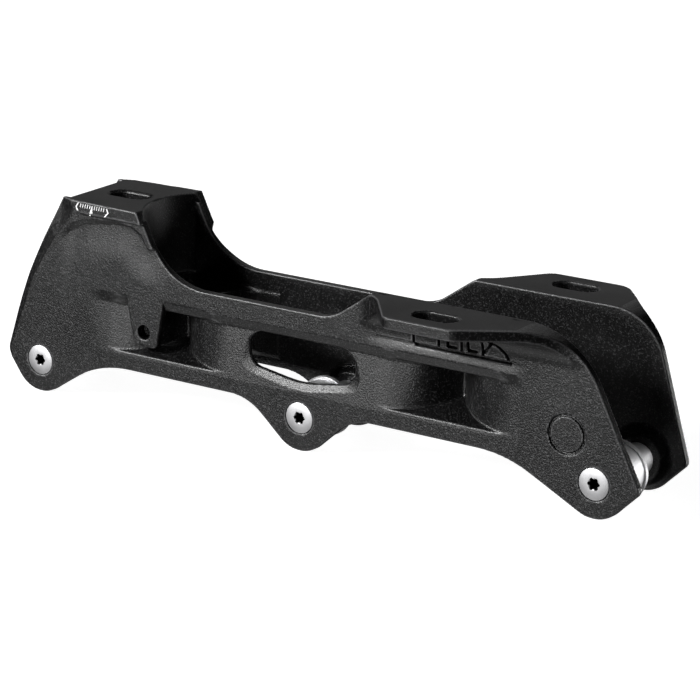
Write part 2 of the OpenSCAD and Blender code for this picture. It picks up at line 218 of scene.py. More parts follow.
def sandyGrain():
    # fine bumps of a powder coat, and the few grains that catch the light
    group = bpy.data.node_groups.new("sandyGrain", "ShaderNodeTree")
    face = group.interface
    for name in ("Scale", "Rarity"):
        face.new_socket(name, in_out="INPUT", socket_type="NodeSocketFloat")
    for name in ("Height", "Flecks", "Clouds"):
        face.new_socket(name, in_out="OUTPUT", socket_type="NodeSocketFloat")
    ins = addNode(group, "NodeGroupInput")
    outs = addNode(group, "NodeGroupOutput")
    place = addNode(group, "ShaderNodeTexCoord").outputs["Object"]
    fine = addNode(group, "ShaderNodeTexNoise", noise_dimensions="3D")
    fine.inputs["Detail"].default_value = grainLook["detail"]
    fine.inputs["Roughness"].default_value = grainLook["rough"]
    group.links.new(place, fine.inputs["Vector"])
    group.links.new(ins.outputs["Scale"], fine.inputs["Scale"])
    cells = addNode(group, "ShaderNodeTexVoronoi", feature="F1")
    group.links.new(place, cells.inputs["Vector"])
    cellScale = mathNode(group, "MULTIPLY", ins.outputs["Scale"], grainLook["cellShare"])
    group.links.new(cellScale, cells.inputs["Scale"])
    clouds = addNode(group, "ShaderNodeTexNoise", noise_dimensions="3D")
    clouds.inputs["Scale"].default_value = grainLook["cloudScale"]
    clouds.inputs["Detail"].default_value = grainLook["cloudDetail"]
    group.links.new(place, clouds.inputs["Vector"])
    pits = mathNode(group, "MULTIPLY", cells.outputs["Distance"], grainLook["cellDepth"])
    bumps = mathNode(group, "SUBTRACT", fine.outputs["Fac"], pits)
    edge = mathNode(group, "ADD", ins.outputs["Rarity"], grainLook["fleckEdge"])
    flecks = addNode(group, "ShaderNodeMapRange", interpolation_type="SMOOTHSTEP")
    group.links.new(fine.outputs["Fac"], flecks.inputs["Value"])
    group.links.new(ins.outputs["Rarity"], flecks.inputs["From Min"])
    group.links.new(edge, flecks.inputs["From Max"])
    group.links.new(bumps, outs.inputs["Height"])
    group.links.new(flecks.outputs["Result"], outs.inputs["Flecks"])
    group.links.new(clouds.outputs["Fac"], outs.inputs["Clouds"])
    return group


grainGroup = sandyGrain()

coat = {
    "dark": (0.0016, 0.0016, 0.0017, 1),
    "fleck": (0.055, 0.055, 0.056, 1),
    # a painted highlight: a lighter colour along the sharp edges
    "edgeHighlight": (0.09, 0.09, 0.092, 1),  # on sharp edges
    "grainScale": 2000.0,
    "rarity": 0.56,
    "roughLow": 0.30,
    "roughHigh": 0.38,
    "cloudRange": (0.3, 0.7),
    "topRough": 0.14,  # added on the machined faces
    "topSmooth": 0.8,  # share of the grain that is gone there
    "bumpDepth": 0.00011,
    "topHeights": (62.0, 75.2),  # machined faces, above the floor
    "topBand": 0.18,
}


def topMask(tree):
    # one on the machined tops of the wings and the heel deck, zero elsewhere
    place = addNode(tree, "ShaderNodeTexCoord").outputs["Object"]
    split = addNode(tree, "ShaderNodeSeparateXYZ")
    tree.links.new(place, split.inputs[0])
    height = split.outputs["Z"]
    total = None
    for level in coat["topHeights"]:
        away = mathNode(tree, "ABSOLUTE", mathNode(tree, "SUBTRACT", height, level * metre), 0)
        near = mathNode(tree, "LESS_THAN", away, coat["topBand"] * metre)
        total = near if total is None else mathNode(tree, "MAXIMUM", total, near)
    return total


def coatedCasting():
    material, tree, shader = newMaterial("coated_casting")
    grain = addNode(tree, "ShaderNodeGroup", node_tree=grainGroup)
    grain.inputs["Scale"].default_value = coat["grainScale"]
    grain.inputs["Rarity"].default_value = coat["rarity"]
    top = topMask(tree)
    rest = mathNode(tree, "SUBTRACT", 1.0, mathNode(tree, "MULTIPLY", top, coat["topSmooth"]))
    flecks = mathNode(tree, "MULTIPLY", grain.outputs["Flecks"], rest)
    colour = mixColour(tree, flecks, coat["dark"], coat["fleck"])
    # sharp edges are coloured lighter, a painted highlight
    edges = addNode(tree, "ShaderNodeAttribute", attribute_name="edge")
    colour = mixColour(tree, edges.outputs["Fac"], colour, coat["edgeHighlight"])
    tree.links.new(colour, shader.inputs["Base Color"])
    rough = addNode(tree, "ShaderNodeMapRange")
    tree.links.new(grain.outputs["Clouds"], rough.inputs["Value"])
    rough.inputs["From Min"].default_value = coat["cloudRange"][0]
    rough.inputs["From Max"].default_value = coat["cloudRange"][1]
    rough.inputs["To Min"].default_value = coat["roughLow"]
    rough.inputs["To Max"].default_value = coat["roughHigh"]
    dull = mathNode(tree, "MULTIPLY", top, coat["topRough"])
    tree.links.new(mathNode(tree, "ADD", rough.outputs["Result"], dull), shader.inputs["Roughness"])
    bump = addNode(tree, "ShaderNodeBump")
    bump.inputs["Distance"].default_value = coat["bumpDepth"]
    tree.links.new(mathNode(tree, "MULTIPLY", grain.outputs["Height"], rest), bump.inputs["Height"])
    tree.links.new(bump.outputs["Normal"], shader.inputs["Normal"])
    return material


metal = {
    "ringDetail": 3.0,
    "ringTone": 0.86,  # share of the colour that the dark rings keep
    "smudgeScale": 260.0,
    "smudgeDetail": 4.0,
    "smudgeSpread": 0.15,
    # painted shade: the inside of the axle heads' sockets is coloured dark
    "socket": (0.03, 0.03, 0.03, 1),
}
axleLook = {"colour": (0.60, 0.60, 0.61, 1), "rough": 0.50, "ringScale": 900, "ringDepth": 0.00001}
spacerLook = {"colour": (0.86, 0.86, 0.87, 1), "rough": 0.42, "ringScale": 2600, "ringDepth": 0.00002}


def turnedMetal(name, look):
    # metal with fine turning rings across the axle's line
    material, tree, shader = newMaterial(name)
    shader.inputs["Metallic"].default_value = 1.0
    place = addNode(tree, "ShaderNodeTexCoord").outputs["Object"]
    split = addNode(tree, "ShaderNodeSeparateXYZ")
    tree.links.new(place, split.inputs[0])
    rings = addNode(tree, "ShaderNodeTexNoise", noise_dimensions="1D")
    rings.inputs["Scale"].default_value = look["ringScale"]
    rings.inputs["Detail"].default_value = metal["ringDetail"]
    tree.links.new(split.outputs["Y"], rings.inputs["W"])
    smudge = addNode(tree, "ShaderNodeTexNoise", noise_dimensions="3D")
    smudge.inputs["Scale"].default_value = metal["smudgeScale"]
    smudge.inputs["Detail"].default_value = metal["smudgeDetail"]
    tree.links.new(place, smudge.inputs["Vector"])
    tone = addNode(tree, "ShaderNodeMapRange")
    tree.links.new(smudge.outputs["Fac"], tone.inputs["Value"])
    tone.inputs["To Min"].default_value = look["rough"] * (1 - metal["smudgeSpread"])
    tone.inputs["To Max"].default_value = look["rough"] * (1 + metal["smudgeSpread"])
    tree.links.new(tone.outputs["Result"], shader.inputs["Roughness"])
    darker = tuple(channel * metal["ringTone"] for channel in look["colour"][:3]) + (1,)
    shade = addNode(tree, "ShaderNodeAttribute", attribute_name="shade")
    tint = mixColour(tree, rings.outputs["Fac"], darker, look["colour"])
    # painted shade inside the sockets
    tint = mixColour(tree, shade.outputs["Fac"], tint, metal["socket"])
    tree.links.new(tint, shader.inputs["Base Color"])
    bump = addNode(tree, "ShaderNodeBump")
    bump.inputs["Distance"].default_value = look["ringDepth"]
    tree.links.new(rings.outputs["Fac"], bump.inputs["Height"])
    tree.links.new(bump.outputs["Normal"], shader.inputs["Normal"])
    return material


coatMaterial = coatedCasting()
axleMaterial = turnedMetal("axle_steel", axleLook)
spacerMaterial = turnedMetal("spacer_metal", spacerLook)
print("materials are ready")


# Outlines in a plane, as straight lines with rounded corners


def facing(angle):
    return np.array([math.cos(math.radians(angle)), math.sin(math.radians(angle))])


def lineAt(angle, point):
    return angle, facing(angle) @ np.array(point)


def meet(first, second):
    a, b = math.radians(first[0]), math.radians(second[0])
    x = first[1] * math.sin(b) - second[1] * math.sin(a)
    y = second[1] * math.cos(a) - first[1] * math.cos(b)
    return np.array([x, y]) / math.sin(b - a)


def cornersOf(edges):
    # each edge is a line and the radius of the corner after it
    after = edges[1:] + edges[:1]
    return [(*meet(line, following), radius) for (line, radius), (following, _) in zip(edges, after)]


def roundedOutline(corners, arcStep=4):
    points = []
    count = len(corners)
    for i, (x, y, radius) in enumerate(corners):
        corner = np.array([x, y])
        if radius <= 0:
            points.append(corner)
            continue
        u = np.array(corners[i - 1][:2]) - corner
        v = np.array(corners[(i + 1) % count][:2]) - corner
        u, v = u / np.linalg.norm(u), v / np.linalg.norm(v)
        half = math.acos(np.clip(u @ v, -1, 1)) / 2
        middle = u + v
        centre = corner + middle / np.linalg.norm(middle) * radius / math.sin(half)
        start = corner + u * radius / math.tan(half) - centre
        finish = corner + v * radius / math.tan(half) - centre
        a = math.degrees(math.atan2(start[1], start[0]))
        sweep = (math.degrees(math.atan2(finish[1], finish[0])) - a + 180) % 360 - 180
        steps = max(2, math.ceil(abs(sweep) / arcStep))
        points += [centre + radius * facing(a + sweep * k / steps) for k in range(steps + 1)]
    return np.array(points)


# The casting, as a distance field in millimetres that is below zero inside the metal

casting = {
    "gridStep": 0.55,
    "halfGap": 15.3,
    "halfWidth": 18.3,
    "lobe": 12.0,
    "railLow": 3.5,  # this and the next five are above the axles
    "railTop": 10.2,
    "lip": 28.0,
    "beamTop": 38.4,
    "toeTop": 50.0,
    "bulkheadLow": 34.0,
    "edgeRound": 0.5,
    "innerRound": 0.4,
    "trianglesKept": 190000,
}
# how the net of faces is drawn onto the surface, and which of its edges get a painted highlight
surface = {
    "rounds": 3,
    "reach": 0.3,
    "most": 0.4,
    "leastSlope": 0.05,
    "lastReach": 0.06,
    "lastMost": 0.2,
    "lastLeastSlope": 0.2,
    "highlightReach": 0.4,
    "highlightFrom": (0.20, 0.42),
}

lobeFlanks = {"rear": (215, 303), "middle": (228, 312), "front": (243, 315)}
outlineRounds = {
    "rear": 100,
    "tip": 3,
    "railSweep": 45,
    "lobeSweep": 20,
    "wing": 5,
    "rampFoot": 18,
    "heelSweep": 27,
}
heel = {
    "back": 11.0,  # wall corner, in front of the rear axle
    "tip": 16.2,
    "bulge": 3.2,
    "turn": 7.1,
    "front": 46.5,
    "frontLean": 25.0,
    "deckThick": 4.5,
    "deckInset": 2.5,
    "widthBack": 18.0,
    "widthFront": 20.0,
    "hollow": 24.0,
    "bulkhead": 3.5,
    "slotAt": 29.0,
    "slotLong": 16.6,
    "slotWide": 8.4,
    "slotBevel": 0.7,
    "planRound": 0.4,
    "gapRound": 0.5,
    "edgeRound": 0.35,
    "overlap": 1.0,  # of the deck with the wall and the bulkhead
    "sheetOver": 1.5,
    "over": 5.0,
    "bevelSlope": 0.5,
    "bevelMost": 2.2,
    "stepWidth": 2.4,
    "stepBack": 1.0,
    "stepFade": 16.0,
    "bandFrom": -106.0,  # the side band under the deck fades in between these two
    "bandFull": -97.5,
}
# edge of the flat panel on the heel's side, in X and above the axles, and on around the rest of the wall
heelPanel = [
    (-129.6, -40), (-129.2, 3), (-122.1, 20.6), (-118.0, 31.2), (-113.0, 39.2), (-107.2, 48.0),
    (-101.5, 53.4), (-95.4, 56.9), (-89.4, 58.2), (-78.6, 59.3), (-71.4, 58.7), (-67.0, 56.1),
    (-64.0, 51.9), (-50.0, 60.0), (200.0, 60.0), (200.0, -40),
]
# both sides are set back under the bevel of the upper rail, less and less downwards
setBack = {
    "top": 31.3,  # this and the next two are above the axles
    "deepest": 28.0,
    "low": 9.0,
    "depth": 1.5,
    "rear": (-93.0, -76.0),
    "front": (72.0, 90.0),
    "fillet": 0.17,
}
# the rail's crown under the lateral wing, from the bevel's edge up to the recessed ladder
crown = {"high": 34.5, "depth": 0.65, "rear": (24.0, 40.0), "front": (80.0, 90.0)}
neck = {
    "length": 52.0,
    "reach": 27.0,
    "shoulderRound": 31.5,
    "waistRound": 2.0,
    "rise": 6.5,
    "floor": 3.6,
    "over": 3.0,
    "lipRise": 3.3,
    "lipIn": 1.5,
    "roofRound": 1.0,
    "blockOver": 0.2,
    "bayRun": 37.7,
    "bayRound": 1.0,
    "innerFillet": 1.2,
    "floorFillet": 0.7,
    "lipFillet": 1.2,
    "edgeRound": 0.45,
    "edgeFade": 14.0,
    "blend": (8.0, 20.0),
}
window = {
    "half": 21.8,
    "low": 12.2,  # this and the next one are above the axles
    "high": 28.0,
    "bow": 3.5,
    "corner": 5.4,
    "bowRound": 40,
    "ends": 5.0,  # widths of the sloped rim
    "below": 2.8,
    "above": 3.2,
    "depth": 1.5,
    "edgeRound": 0.5,
}
tab = {
    "back": 9.0,
    "width": 18.0,
    "foot": 10.0,
    "low": 13.5,
    "over": 5.0,
    "corner": 3.0,
    "edgeRound": 0.8,
    "hole": 2.7,
    "holeUp": 5.5,
    "holeBack": 0.6,
    "holeRound": 0.4,
}
badge = {"back": 10.5, "up": 15.0, "radius": 7.0, "line": 1.0, "depth": 0.6, "edgeRound": 0.15}
boss = {
    "height": 2.4,
    "root": 10.6,
    "face": 8.0,
    "over": 1.0,
    "edgeRound": 0.5,
    "fillet": 0.8,
    "bore": 4.15,
    "boreRound": 0.2,
    "seat": 5.8,
    "seatDepth": 3.05,
    "seatRound": 0.25,
}
wing = {
    "thick": 4.2,
    "back": 66.4,
    "lead": 1.3,
    "rootRun": 14.0,
    "rootRound": 16.0,
    "rearCorner": 6.0,
    "edgeCorner": 9.0,
    "footCorner": 24.0,
    "flank": 9.0,
    "rampSlope": 35.0,
    "nose": 16.3,
    "noseUp": 1.0,
    "slotReach": 29.0,
    "slotBevel": 0.6,
    "lowerRound": 0.8,
    "edgeRound": 0.4,
    "rootStep": 0.05,
    "footRun": 20.0,
    "footStep": 0.2,
    "below": 1.0,
}
# each side of the toe: its sign in Y, how far the wing is set back, its slot behind the front axle,
# and the shape of its front edge and wing
lateral = {
    "side": -1,
    "setBack": 22.1,
    "slot": 54.5,
    "lean": 26.5,
    "round": 32,
    "slant": 20.0,
    "edge": 25.3,
    "foot": 78.5,
    "ramp": 2.5,
}
medial = {
    "side": 1,
    "setBack": 0.0,
    "slot": 34.5,
    "lean": 16.2,
    "round": 20,
    "slant": 17.2,
    "edge": 29.3,
    "foot": 64.0,
    "ramp": 0.0,
}


def gridLine(low, high):
    step = casting["gridStep"]
    margin = 3 * step
    return np.arange(low - margin, high + margin, step, dtype=np.float32)


xs = gridLine(cadBox[0].x / metre, cadBox[1].x / metre)
ys = gridLine(cadBox[0].y / metre, cadBox[1].y / metre)
zs = gridLine(cadBox[0].z / metre, cadBox[1].z / metre)


def lookAt(x, y, z):
    # the places at which the fields below are worked out
    global spotX, spotY, spotZ, across
    spotX, spotY, spotZ, across = x, y, z, np.abs(y)


def joined(a, b, radius):
    # union with a fillet in the corner
    bite = np.hypot(np.maximum(radius - a, 0), np.maximum(radius - b, 0))
    return np.maximum(np.minimum(a, b), radius) - bite


def shared(a, b, radius):
    # intersection with a round edge
    swell = np.hypot(np.maximum(a + radius, 0), np.maximum(b + radius, 0))
    return np.minimum(np.maximum(a, b), -radius) + swell


def bevelled(a, b, width):
    # intersection with a flat bevel
    return np.maximum(np.maximum(a, b), (a + b + width) * math.sqrt(0.5))


def planeDistance(points, u, v):
    # signed distance from a closed outline, on two arrays of coordinates
    best = np.full(np.broadcast(u, v).shape, np.inf, np.float32)
    inside = np.zeros(best.shape, bool)
    for (x0, y0), (x1, y1) in zip(points, np.roll(points, -1, axis=0)):
        ex, ey = x1 - x0, y1 - y0
        share = np.clip(((u - x0) * ex + (v - y0) * ey) / max(ex * ex + ey * ey, 1e-12), 0, 1)
        best = np.minimum(best, (u - x0 - ex * share) ** 2 + (v - y0 - ey * share) ** 2)
        if abs(ey) > 1e-9:
            inside ^= ((y0 > v) != (y1 > v)) & (u < ex * (v - y0) / ey + x0)
    return (np.where(inside, -1, 1) * np.sqrt(best)).astype(np.float32)


def stadium(x, y, length, width):
    run = (length - width) / 2
    return np.hypot(np.maximum(np.abs(spotX - x) - run, 0), spotY - y) - width / 2


def wallOutline(toe, heelTop):
    c, r = casting, outlineRounds

    def lobe(x, name, index):
        angle = lobeFlanks[name][index]
        return angle, facing(angle) @ np.array([x, axleZ]) + c["lobe"]

    rail = lineAt(270, (0, axleZ + c["railLow"]))
    wingStart = frontX - wing["back"] - toe["setBack"]
    toeTop = axleZ + c["toeTop"]
    top = np.array([rearX + heel["back"], deckTop])
    end = np.array([rearX - heel["tip"], axleZ])
    lean = 180 - math.degrees(math.atan2(*(top - end)))
    edges = [
        (lineAt(lean - heel["turn"], top), r["rear"]),
        (lineAt(lean, (top + end) / 2 - (heel["bulge"], 0)), r["rear"]),
        (lineAt(lean + heel["turn"], end), r["tip"]),
        (lobe(rearX, "rear", 0), c["lobe"]),
        (lobe(rearX, "rear", 1), r["railSweep"]),
        (rail, r["lobeSweep"]),
        (lobe(0, "middle", 0), c["lobe"]),
        (lobe(0, "middle", 1), r["lobeSweep"]),
        (rail, r["railSweep"]),
        (lobe(frontX, "front", 0), c["lobe"]),
        (lobe(frontX, "front", 1), r["tip"]),
        (lineAt(toe["lean"], (frontX + wing["nose"], axleZ + wing["noseUp"])), toe["round"]),
        (lineAt(90, (0, toeTop)), r["wing"]),
        (lineAt(90 + wing["rampSlope"], (wingStart + toe["ramp"], toeTop)), r["rampFoot"]),
        (lineAt(90, (0, axleZ + c["beamTop"])), r["heelSweep"]),
        (lineAt(heel["frontLean"], (rearX + heel["front"], deckTop)), 0),
        (lineAt(90, (0, heelTop)), 0),
    ]
    return planeDistance(roundedOutline(cornersOf(edges)), spotX, spotZ)


def windowOutline(share):
    # the window on the near wall, at its own size or as far out as its sloped rim goes
    low = axleZ + window["low"] - share * window["below"]
    high = axleZ + window["high"] + share * window["above"]
    half = window["half"] + share * window["ends"]
    corner = window["corner"]
    points = roundedOutline([
        (-half, high, corner),
        (half, high, corner),
        (half, low + window["bow"], corner),
        (0, low, window["bowRound"]),
        (-half, low + window["bow"], corner),
    ])
    return planeDistance(points, spotX, spotZ)


def smoothStep(value, low, high):
    part = np.clip((value - low) / (high - low), 0, 1)
    return part * part * (3 - 2 * part)


def deckSide(x):
    # half width of the deck at X, on its slanted side face
    back = rearX + heel["back"] - heel["deckThick"]
    front = rearX + heel["front"] + heel["deckThick"]
    return heel["widthBack"] + (heel["widthFront"] - heel["widthBack"]) * (x - back) / (front - back)


def railSetBack():
    # how far the sides lie behind the upper rail's face
    part = (axleZ + setBack["top"] - spotZ) / (setBack["top"] - setBack["deepest"])
    rising = (spotZ - axleZ - setBack["low"]) / (setBack["deepest"] - setBack["low"])
    under = np.clip(1 + joined(part - 1, rising - 1, setBack["fillet"]), 0, 1)
    along = smoothStep(spotX, *setBack["rear"]) * (1 - smoothStep(spotX, *setBack["front"]))
    return setBack["depth"] * under * along


def crownSetBack():
    # how far the wall over the rail's crown lies behind its edge
    part = np.clip((spotZ - axleZ - setBack["top"]) / (crown["high"] - setBack["top"]), 0, 1)
    along = smoothStep(spotX, *crown["rear"]) * (1 - smoothStep(spotX, *crown["front"]))
    return crown["depth"] * part ** 2 * along * (spotY < 0)


def sideFace():
    # half width of both walls over the side view, with the heel's bands
    outside = planeDistance(np.array(heelPanel) + (0, axleZ), spotX, spotZ)
    band = smoothStep(spotX, heel["bandFrom"], heel["bandFull"])
    proud = band * (deckSide(spotX) - casting["halfWidth"])
    bevel = (1 - band) * np.clip(heel["bevelSlope"] * outside, 0, heel["bevelMost"])
    step = np.clip(1 + outside / heel["stepWidth"], 0, 1)
    fade = 1 - smoothStep(-outside, heel["stepWidth"], heel["stepFade"])
    back = band * heel["stepBack"] * (1 - step) * fade
    return casting["halfWidth"] + step * proud - back - bevel - railSetBack() - crownSetBack()


def windowRim(hole):
    # half width of the near wall's sloped rim around the window
    rim = windowOutline(1)
    return casting["halfWidth"] - window["depth"] * np.clip(rim / np.minimum(rim - hole, -0.01), 0, 1)


def wallField(side, outline, face):
    out = side * spotY
    shell = shared(outline, out - face, casting["edgeRound"])
    return shared(shell, casting["halfGap"] - out, casting["innerRound"])


def notchFloor():
    # height over the sloped floor of the hollows beside a neck
    slope = neck["rise"] / casting["halfWidth"]
    return (spotZ - axleZ - casting["railTop"] - neck["rise"] + slope * across) / math.hypot(1, slope)


def neckField(x):
    c = casting
    block = np.maximum(np.abs(spotX - x) - neck["length"] / 2, across - c["halfGap"] - neck["blockOver"])
    block = np.maximum(block, -notchFloor() - neck["floor"])
    block = np.maximum(block, spotZ - axleZ - c["lip"] - neck["over"])
    half = frontX / 2
    for axle in (x - half, x + half):
        bay = stadium(axle, 0, 2 * (neck["bayRun"] + c["halfGap"]), 2 * c["halfGap"])
        block = shared(block, -bay, neck["bayRound"])
    return block


def notchPlan(x):
    # outside two large arcs that run into the wall's face at both ends
    level = across + railSetBack() * smoothStep(np.abs(spotX - x), *neck["blend"])
    arcs = []
    for side in (-1, 1):
        up = casting["halfWidth"] - neck["shoulderRound"]
        arcs.append(np.hypot(spotX - x - side * neck["reach"], level - up) - neck["shoulderRound"])
    return np.maximum(-joined(*arcs, neck["waistRound"]), np.abs(spotX - x) - neck["reach"])


def cutNotches(body, x):
    # a bevelled edge under the upper rail, a crisp one along the lower rail, and fillets in the corners
    lip = axleZ + casting["lip"]
    run, rise = neck["lipIn"], neck["lipRise"]
    bevel = ((spotZ - lip) * run - (across - casting["halfWidth"] + run) * rise) / math.hypot(run, rise)
    roof = joined(spotZ - lip, bevel, neck["roofRound"])
    hollow = shared(shared(notchPlan(x), -notchFloor(), neck["floorFillet"]), roof, neck["lipFillet"])
    soft = neck["edgeRound"] * smoothStep(neck["reach"] - np.abs(spotX - x), 0, neck["edgeFade"])
    return shared(body, -hollow, soft)


def tabField():
    middle = rearX / 2 - tab["back"]
    low, high = axleZ + tab["low"], axleZ + casting["lip"] + tab["over"]
    points = roundedOutline([
        (middle - tab["width"] / 2, high, 0),
        (middle - tab["foot"] / 2, low, tab["corner"]),
        (middle + tab["foot"] / 2, low, tab["corner"]),
        (middle + tab["width"] / 2, high, 0),
    ])
    shape = planeDistance(points, spotX, spotZ)
    slab = np.maximum(-spotY - casting["halfWidth"], casting["halfGap"] + spotY)
    hole = np.hypot(spotX - middle + tab["holeBack"], spotZ - low - tab["holeUp"]) - tab["hole"]
    return shared(shared(shape, slab, tab["edgeRound"]), -hole, tab["holeRound"])


def deckField(face):
    under = deckTop - heel["deckThick"]
    back = rearX + heel["back"] - heel["deckThick"]
    front = rearX + heel["front"] + heel["deckThick"]
    points = np.array([
        (back, -heel["widthBack"]),
        (front, -heel["widthFront"]),
        (front, heel["widthFront"]),
        (back, heel["widthBack"]),
    ])
    plan = planeDistance(points, spotX, spotY)
    plan = shared(plan, wallOutline(lateral, deckTop + heel["over"]), heel["planRound"])
    rearGap = np.maximum(spotX - rearX - heel["back"] - heel["deckInset"], across - casting["halfGap"])
    plan = shared(plan, -rearGap, heel["gapRound"])
    hollowX = rearX + heel["front"] + math.sqrt(heel["hollow"] ** 2 - casting["halfGap"] ** 2)
    ring = np.hypot(spotX - hollowX, spotY) - heel["hollow"]
    plan = shared(plan, -ring, heel["gapRound"])
    plan = shared(plan, across - face, heel["edgeRound"])
    deck = shared(plan, np.maximum(spotZ - deckTop, under - spotZ), heel["edgeRound"])
    slot = stadium(rearX + heel["slotAt"], 0, heel["slotLong"], heel["slotWide"])
    deck = bevelled(deck, -slot, heel["slotBevel"])
    low = axleZ + casting["bulkheadLow"]
    sheet = np.maximum(np.maximum(-ring, ring - heel["bulkhead"]), spotX - hollowX)
    sheet = np.maximum(sheet, across - casting["halfGap"] - heel["sheetOver"])
    sheet = np.maximum(sheet, np.maximum(low - spotZ, spotZ - under - heel["overlap"]))
    return np.minimum(deck, sheet)


def wingField(toe, outline):
    c = casting
    out = toe["side"] * spotY
    top = axleZ + c["toeTop"]
    under = top - wing["thick"]
    low = under - wing["flank"] - wing["below"]
    start = frontX - wing["back"] - toe["setBack"]
    foot = start + toe["foot"]
    root = start + toe["ramp"] + wing["lead"]
    plan = planeDistance(roundedOutline([
        (root - wing["rootRun"], c["halfGap"], 0),
        (root - wing["rootRun"], c["halfWidth"] - wing["rootStep"], 0),
        (root, c["halfWidth"], wing["rootRound"]),
        (start + toe["slant"], wingReach, wing["rearCorner"]),
        (start + toe["slant"] + toe["edge"], wingReach, wing["edgeCorner"]),
        (foot, c["halfWidth"], wing["footCorner"]),
        (foot + wing["footRun"], c["halfWidth"] - wing["footStep"], 0),
        (foot + wing["footRun"], c["halfGap"], 0),
    ]), spotX, out)
    section = planeDistance(roundedOutline([
        (c["halfGap"], top, 0),
        (wingReach, top, 0),
        (wingReach, under, wing["lowerRound"]),
        (c["halfWidth"], under, wing["flank"]),
        (c["halfWidth"], low, 0),
        (c["halfGap"], low, 0),
    ]), out, spotZ)
    return shared(shared(plan, section, wing["edgeRound"]), outline, wing["edgeRound"])


# the ladder of grooves under a wing, in X from the slot's centre and above the axles
ladder = {
    "width": 0.9,
    "depth": 2.2,
    "edgeRound": 0.2,
    "lines": [
        [(-15.0, 40.0), (-14.9, 35.6), (-14.2, 34.9), (21.9, 34.9)],
        [(-5.2, 42.0), (-5.2, 34.9)],
        [(-1.6, 41.5), (-1.6, 36.7), (1.5, 36.7)],
        [(3.7, 42.0), (3.7, 34.9)],
        [(6.2, 41.5), (6.2, 36.7), (9.4, 36.7)],
        [(11.8, 42.0), (11.8, 34.9)],
        [(12.7, 37.2), (15.4, 40.8)],
        [(14.8, 41.3), (17.6, 40.3), (20.0, 38.5), (21.4, 36.6), (21.9, 34.9)],
    ],
}


def pathDistance(points):
    # distance from an open line in the side view
    best = np.inf
    for (x0, z0), (x1, z1) in zip(points, points[1:]):
        ex, ez = x1 - x0, z1 - z0
        share = np.clip(((spotX - x0) * ex + (spotZ - z0) * ez) / (ex * ex + ez * ez), 0, 1)
        best = np.minimum(best, np.hypot(spotX - x0 - ex * share, spotZ - z0 - ez * share))
    return best


def cutToe(body, toe):
    slotX = frontX - toe["slot"]
    slot = stadium(slotX, toe["side"] * wing["slotReach"], heel["slotLong"], heel["slotWide"])
    body = bevelled(body, -slot, wing["slotBevel"])
    grooves = np.inf
    for line in ladder["lines"]:
        grooves = np.minimum(grooves, pathDistance([(slotX + x, axleZ + up) for x, up in line]))
    back = casting["halfWidth"] - ladder["depth"] - toe["side"] * spotY
    return shared(body, -np.maximum(grooves - ladder["width"] / 2, back), ladder["edgeRound"])


def aroundAxle(x):
    return np.hypot(spotX - x, spotZ - axleZ)


def bossField(x):
    c = casting
    low = c["halfGap"] - boss["height"]
    slope = (boss["root"] - boss["face"]) / boss["height"]
    cone = (aroundAxle(x) - boss["face"] - (across - low) * slope) / math.hypot(1, slope)
    ends = np.maximum(low - across, across - c["halfGap"] - boss["over"])
    return shared(cone, ends, boss["edgeRound"])


def cutAxleHoles(body, x):
    away = aroundAxle(x)
    seat = np.maximum(away - boss["seat"], spotY + casting["halfWidth"] - boss["seatDepth"])
    body = shared(body, boss["bore"] - away, boss["boreRound"])
    return shared(body, -seat, boss["seatRound"])


def castingField():
    hole = windowOutline(0)
    heelTop = deckTop - heel["deckThick"] + heel["overlap"]
    outlines = {toe["side"]: wallOutline(toe, heelTop) for toe in (lateral, medial)}
    face = sideFace()
    faces = {-1: np.minimum(face, windowRim(hole)), 1: face}
    body = np.minimum(*(wallField(side, outline, faces[side]) for side, outline in outlines.items()))
    for x in (rearX / 2, frontX / 2):
        body = joined(body, neckField(x), neck["innerFillet"])
        body = cutNotches(body, x)
    body = np.minimum(body, tabField())
    body = np.minimum(body, deckField(face))
    for toe in (lateral, medial):
        body = np.minimum(body, wingField(toe, outlines[toe["side"]]))
        body = cutToe(body, toe)
    for x in (rearX, 0, frontX):
        body = joined(body, bossField(x), boss["fillet"])
        body = cutAxleHoles(body, x)
    body = shared(body, -np.maximum(hole, spotY), window["edgeRound"])
    fromBadge = np.hypot(spotX - frontX + badge["back"], spotZ - axleZ - badge["up"])
    ring = fromBadge - badge["radius"] + badge["line"] / 2
    groove = np.maximum(np.abs(ring) - badge["line"] / 2, spotY + casting["halfWidth"] - badge["depth"])
    return shared(body, -groove, badge["edgeRound"])


def sampleField(field, points):
    # value of the field between grid points
    spots = (points - np.array([xs[0], ys[0], zs[0]])) / casting["gridStep"]
    base = np.clip(np.floor(spots).astype(int), 0, np.array(field.shape) - 2)
    part = spots - base
    total = np.zeros(len(points))
    for i in (0, 1):
        for j in (0, 1):
            for k in (0, 1):
                weight = np.abs(1 - i - part[:, 0]) * np.abs(1 - j - part[:, 1]) * np.abs(1 - k - part[:, 2])
                total += weight * field[base[:, 0] + i, base[:, 1] + j, base[:, 2] + k]
    return total


def slopeOf(field, points, reach):
    slopes = []
    for axis in range(3):
        nudge = np.zeros(3)
        nudge[axis] = reach
        slopes.append((sampleField(field, points + nudge) - sampleField(field, points - nudge)) / (2 * reach))
    return np.stack(slopes, axis=1)


